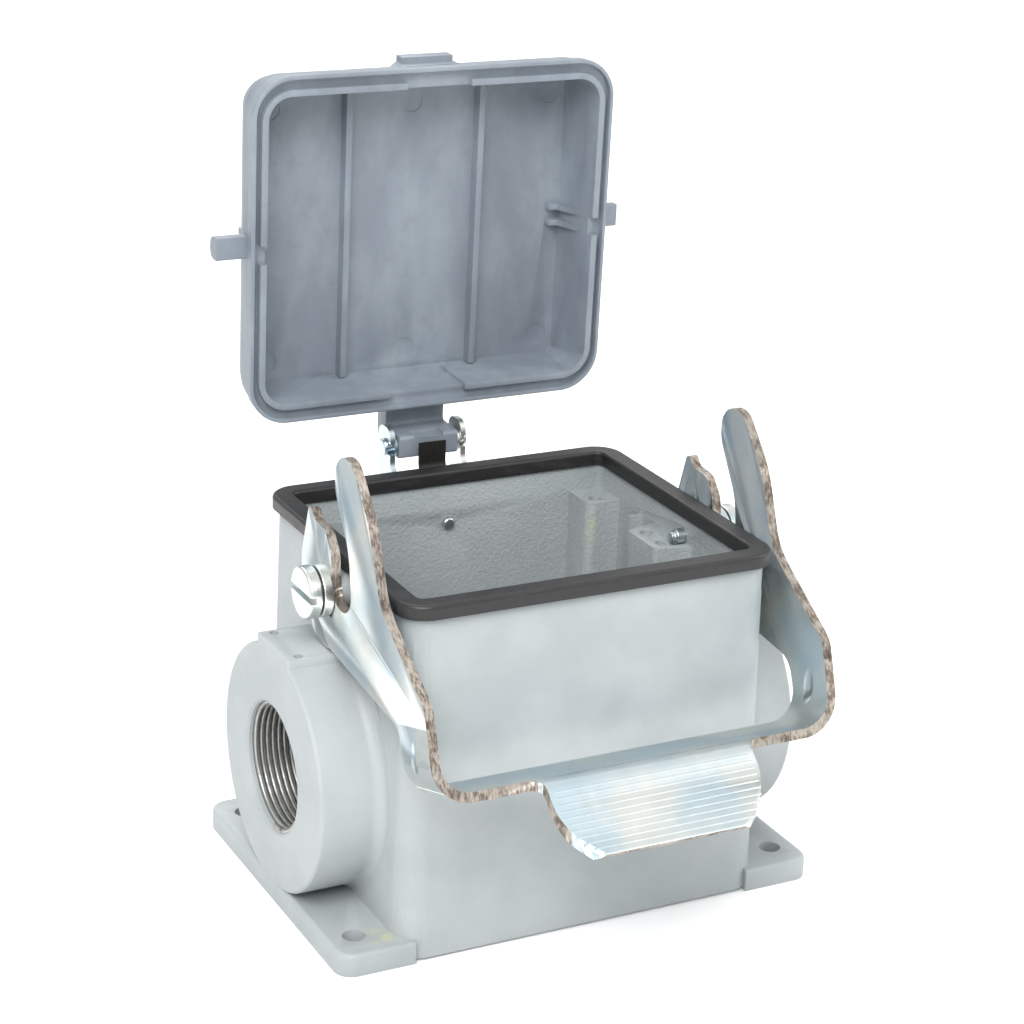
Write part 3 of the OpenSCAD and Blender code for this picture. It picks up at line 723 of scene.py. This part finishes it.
@dataclass
class Lever:
    """The locking lever with the grip lines of its tab."""

    pivot: tuple[float, float] = (-4.6, 80.7)
    strip_front: tuple[float, float] = (-61.6, -26.2)
    strip_slope: float = 17.6
    tab_slope: float = 42.0
    tab_length: float = 19.6
    tab_width: float = 53.0
    bend_setback: float = 2.2
    tab_corner: float = 10.5
    side_margin: float = 1.2
    first_line: float = 3.2
    line_pitch: float = 1.62
    line_count: int = 10
    line_width: float = 0.5
    line_flatness: float = 0.36
    tab_start: float = -1.6
    tab_cut: float = 0.45
    strip_top: float = 8.5
    strip_fall: float = 0.3
    strip_cut: float = 0.7
    arm_cut: float = 0.5

    def build(self) -> None:
        """Builds the lever and its grip lines."""
        sheet = ZincPlate(
            name="lever_zinc_plate", dents=((-50.0, -56.0, 60.0), (50.0, -56.0, 60.0))
        ).material()
        lever = NodeCopy(
            "locking_lever", Body.LEVER, "lever_steel", (sheet, ShearedEdge().material()), edge=0.3
        ).build()
        self.mark_edges(lever.data)
        self.grip_lines(sheet)

    def mark_edges(self, mesh: bpy.types.Mesh) -> None:
        """Gives the sheared edges of the sheet their own finish."""
        slope = math.radians(self.strip_slope)
        across = Vector((0, math.cos(slope), -math.sin(slope)))
        steep = math.radians(self.tab_slope)
        out = Vector((0, -math.sin(steep), math.cos(steep)))
        front = Vector((0, self.pivot[0] + self.strip_front[0], self.pivot[1] + self.strip_front[1]))
        for face in mesh.polygons:
            centre = face.center / MM
            normal = face.normal
            beyond = (centre - front).dot(across)
            if beyond < self.tab_start:
                cut = abs(normal.dot(out)) < self.tab_cut
            elif centre.z < front.z + self.strip_top - self.strip_fall * beyond:
                cut = abs(normal.dot(across)) > self.strip_cut
            else:
                cut = abs(normal.x) < self.arm_cut
            face.material_index = 1 if cut else 0

    def grip_lines(self, finish: bpy.types.Material) -> bpy.types.Object:
        """Lays raised lines across the tab, each as long as the tab is wide there.

        Args:
            finish: The sheet's finish.

        Returns:
            The lines.
        """
        slope = math.radians(self.strip_slope)
        steep = math.radians(self.tab_slope)
        bend = Vector(
            (
                0,
                self.pivot[0] + self.strip_front[0] - self.bend_setback * math.cos(slope),
                self.pivot[1] + self.strip_front[1] + self.bend_setback * math.sin(slope),
            )
        )
        tree = GeometryTree("tab_grip_lines")
        count = tree.size("Lines", self.line_count)
        pitch = tree.size("Pitch", self.line_pitch * MM)
        half = tree.size("Half width", (self.tab_width / 2 - self.side_margin) * MM)
        reach = tree.size("Reach", self.tab_length * MM)
        corner = tree.size("Corner", self.tab_corner * MM)
        width = tree.size("Line width", self.line_width * MM)
        finish_in = tree.size("Finish", finish)
        first = tree.size("First line", self.first_line * MM)
        row = tree.node(
            "GeometryNodeMeshLine", {"mode": "OFFSET"}, {"Count": count, "Start Location": (0.0, 0.0, 0.0)}
        )
        index = tree.node("GeometryNodeInputIndex").out()
        along = first + pitch * index
        past = (along - (reach - corner)).at_least(0.0)
        drop = corner - (corner * corner - past * past).at_least(0.0) ** 0.5
        length = (half - drop) * 2
        spot = tree.node("ShaderNodeCombineXYZ", None, {1: along * -1})
        placed = tree.node("GeometryNodeSetPosition", None, {"Geometry": row, "Position": spot})
        bar = tree.node(
            "GeometryNodeMeshCylinder", None, {"Vertices": 8, "Radius": width / 2, "Depth": 1.0}
        )
        lain = tree.node(
            "GeometryNodeTransform",
            None,
            {"Geometry": bar.out("Mesh"), "Rotation": (0.0, math.radians(90), 0.0)},
        )
        scale = tree.node("ShaderNodeCombineXYZ", None, {0: length, 1: 1.0, 2: self.line_flatness})
        rows = tree.node(
            "GeometryNodeInstanceOnPoints", None, {"Points": placed, "Instance": lain, "Scale": scale}
        )
        tilted = tree.node(
            "GeometryNodeTransform",
            None,
            {
                "Geometry": rows,
                "Translation": tuple(bend * MM),
                "Rotation": (steep, 0.0, 0.0),
            },
        )
        tree.close(tilted.out(), finish_in)
        return tree.piece("tab_grip_lines", Body.LEVER, "lever_steel")


@dataclass
class Pivots:
    """Screws, bushes and washers that the lever turns on."""

    def build(self) -> None:
        """Builds the fastenings at both ends."""
        turned = ZincPlate(name="turned_zinc_plate", streak=(1.0, 4.0, 4.0), roughness=0.2).material()
        black = BareCut(
            name="black_washer", colour=(34, 35, 36), dark=(20, 20, 20), metallic=0.0
        ).material()
        for side in Side:
            end = side.name.lower()
            NodeCopy("pivot_screw_" + end, Body.HOUSING, "zinc_plate", (turned,), edge=0.12).build()
            NodeCopy("pivot_bush_" + end, Body.HOUSING, "zinc_plate", (turned,)).build()
            NodeCopy("pivot_washer_" + end, Body.HOUSING, "black_washer", (black,)).build()


@dataclass
class Cover:
    """The moulded cover."""

    def build(self) -> None:
        """Builds the cover."""
        NodeCopy(
            "protective_cover", Body.COVER, "cover_moulding", (Moulding().material(),), edge=0.25
        ).build()


@dataclass
class Hinge:
    """Bracket, pin, washers, leaf spring and screw of the cover's hinge."""

    plated: tuple[str, ...] = ("hinge_bracket", "hinge_pin", "hinge_washer_left", "hinge_washer_right")
    screwed: tuple[str, ...] = ("bracket_screw", "bracket_washer")

    def build(self) -> None:
        """Builds the hinge."""
        zinc = ZincPlate(name="hinge_zinc_plate", roughness=0.22).material()
        spring = BareCut(
            name="black_spring_strip", colour=(46, 45, 43), dark=(24, 24, 23), metallic=0.6
        ).material()
        for node in self.plated + self.screwed:
            NodeCopy(node, Body.HOUSING, "zinc_plate", (zinc,)).build()
        NodeCopy("leaf_spring", Body.HOUSING, "spring_strip", (spring,)).build()


# ---- Studio ----


@dataclass
class Studio:
    """Floor, lights and camera."""

    yaw: float = -27.61
    pitch: float = 20.27
    roll: float = 2.16
    focal: float = 2625.87
    centre: tuple[float, float] = (520.506, 517.226)
    offset: Point = (-3.945, 84.344, 667.404)
    image: float = 1024.0
    sensor: float = 36.0
    floor_reach: float = 30.0
    aim: Point = (0, 0, 0.08)

    def build(self) -> None:
        """Builds the whole studio."""
        self.floor()
        self.world()
        self.lamp("key", (-0.55, -0.75, 0.95), 0.7, 16.0)
        self.lamp("fill", (0.95, -0.45, 0.6), 0.6, 4.5)
        self.lamp("back", (0.1, 0.9, 1.1), 0.8, 9.0)
        self.camera()

    def floor(self) -> None:
        """Lays a wide pale floor."""
        reach = self.floor_reach
        mesh = bpy.data.meshes.new("floor")
        corners = [(-reach, -reach, 0), (reach, -reach, 0), (reach, reach, 0), (-reach, reach, 0)]
        mesh.from_pydata(corners, [], [(0, 1, 2, 3)])
        floor = bpy.data.objects.new("floor", mesh)
        bpy.context.scene.collection.objects.link(floor)
        s = Shader("pale_floor")
        mesh.materials.append(s.finish({"Base Color": (0.93, 0.93, 0.93, 1.0), "Roughness": 0.9}))

    def world(self) -> None:
        """Surrounds the object with soft light, darker near the horizon for the metal to show."""
        world = bpy.data.worlds.new("studio")
        bpy.context.scene.world = world
        world.use_nodes = True
        world.node_tree.nodes.clear()
        g = Graph(world.node_tree)
        way = g.node("ShaderNodeTexCoord").out("Generated")
        height = g.node("ShaderNodeSeparateXYZ", None, {0: way}).out(2)
        tone = g.node(
            "ShaderNodeValToRGB",
            {
                "stops": [
                    (0.0, (0.5, 0.52, 0.53, 1)),
                    (0.25, (0.62, 0.65, 0.67, 1)),
                    (0.55, (1.15, 1.15, 1.14, 1)),
                ]
            },
            {0: height},
        )
        back = g.node("ShaderNodeBackground", None, {"Color": tone, "Strength": 0.95})
        g.node("ShaderNodeOutputWorld", None, {"Surface": back})

    def lamp(self, name: str, place: Point, size: float, power: float) -> None:
        """Hangs a square soft light that looks at the object.

        Args:
            name: The light's name.
            place: Where it hangs, in metres.
            size: Its side in metres.
            power: Its power in watts.
        """
        light = bpy.data.lights.new(name, "AREA")
        light.size = size
        light.energy = power
        made = bpy.data.objects.new(name, light)
        made.location = place
        aim = Vector(self.aim) - Vector(place)
        made.rotation_euler = aim.to_track_quat("-Z", "Y").to_euler()
        bpy.context.scene.collection.objects.link(made)

    def camera(self) -> None:
        """Sets the camera from its angles, focal length and the place of the origin before it."""
        yaw, pitch, roll = (math.radians(a) for a in (self.yaw, self.pitch, self.roll))
        ahead = Vector((-math.sin(yaw) * math.cos(pitch), math.cos(yaw) * math.cos(pitch), -math.sin(pitch)))
        right = Vector((math.cos(yaw), math.sin(yaw), 0))
        down = ahead.cross(right)
        right, down = (
            right * math.cos(roll) - down * math.sin(roll),
            right * math.sin(roll) + down * math.cos(roll),
        )
        turn = Matrix((right, down, ahead))
        place = -(turn.transposed() @ Vector(self.offset)) * MM
        lens = bpy.data.cameras.new("camera")
        lens.sensor_width = self.sensor
        lens.lens = self.focal / self.image * self.sensor
        lens.shift_x = (self.image / 2 - self.centre[0]) / self.image
        lens.shift_y = (self.centre[1] - self.image / 2) / self.image
        lens.clip_start = 0.01
        lens.clip_end = 100
        made = bpy.data.objects.new("camera", lens)
        made.matrix_world = Matrix.Translation(place) @ Matrix((right, -down, -ahead)).transposed().to_4x4()
        bpy.context.scene.collection.objects.link(made)
        bpy.context.scene.camera = made


def main() -> None:
    """Builds every sub-assembly and the studio in order."""
    logging.basicConfig(level=logging.INFO, format="%(message)s")
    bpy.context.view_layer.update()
    bpy.context.scene.view_settings.view_transform = "Standard"
    for part in (CastBody(), Seal(), Lever(), Pivots(), Cover(), Hinge()):
        part.build()
        log.info("built %s", type(part).__name__)
    Studio().build()


if __name__ == "__main__":
    main()
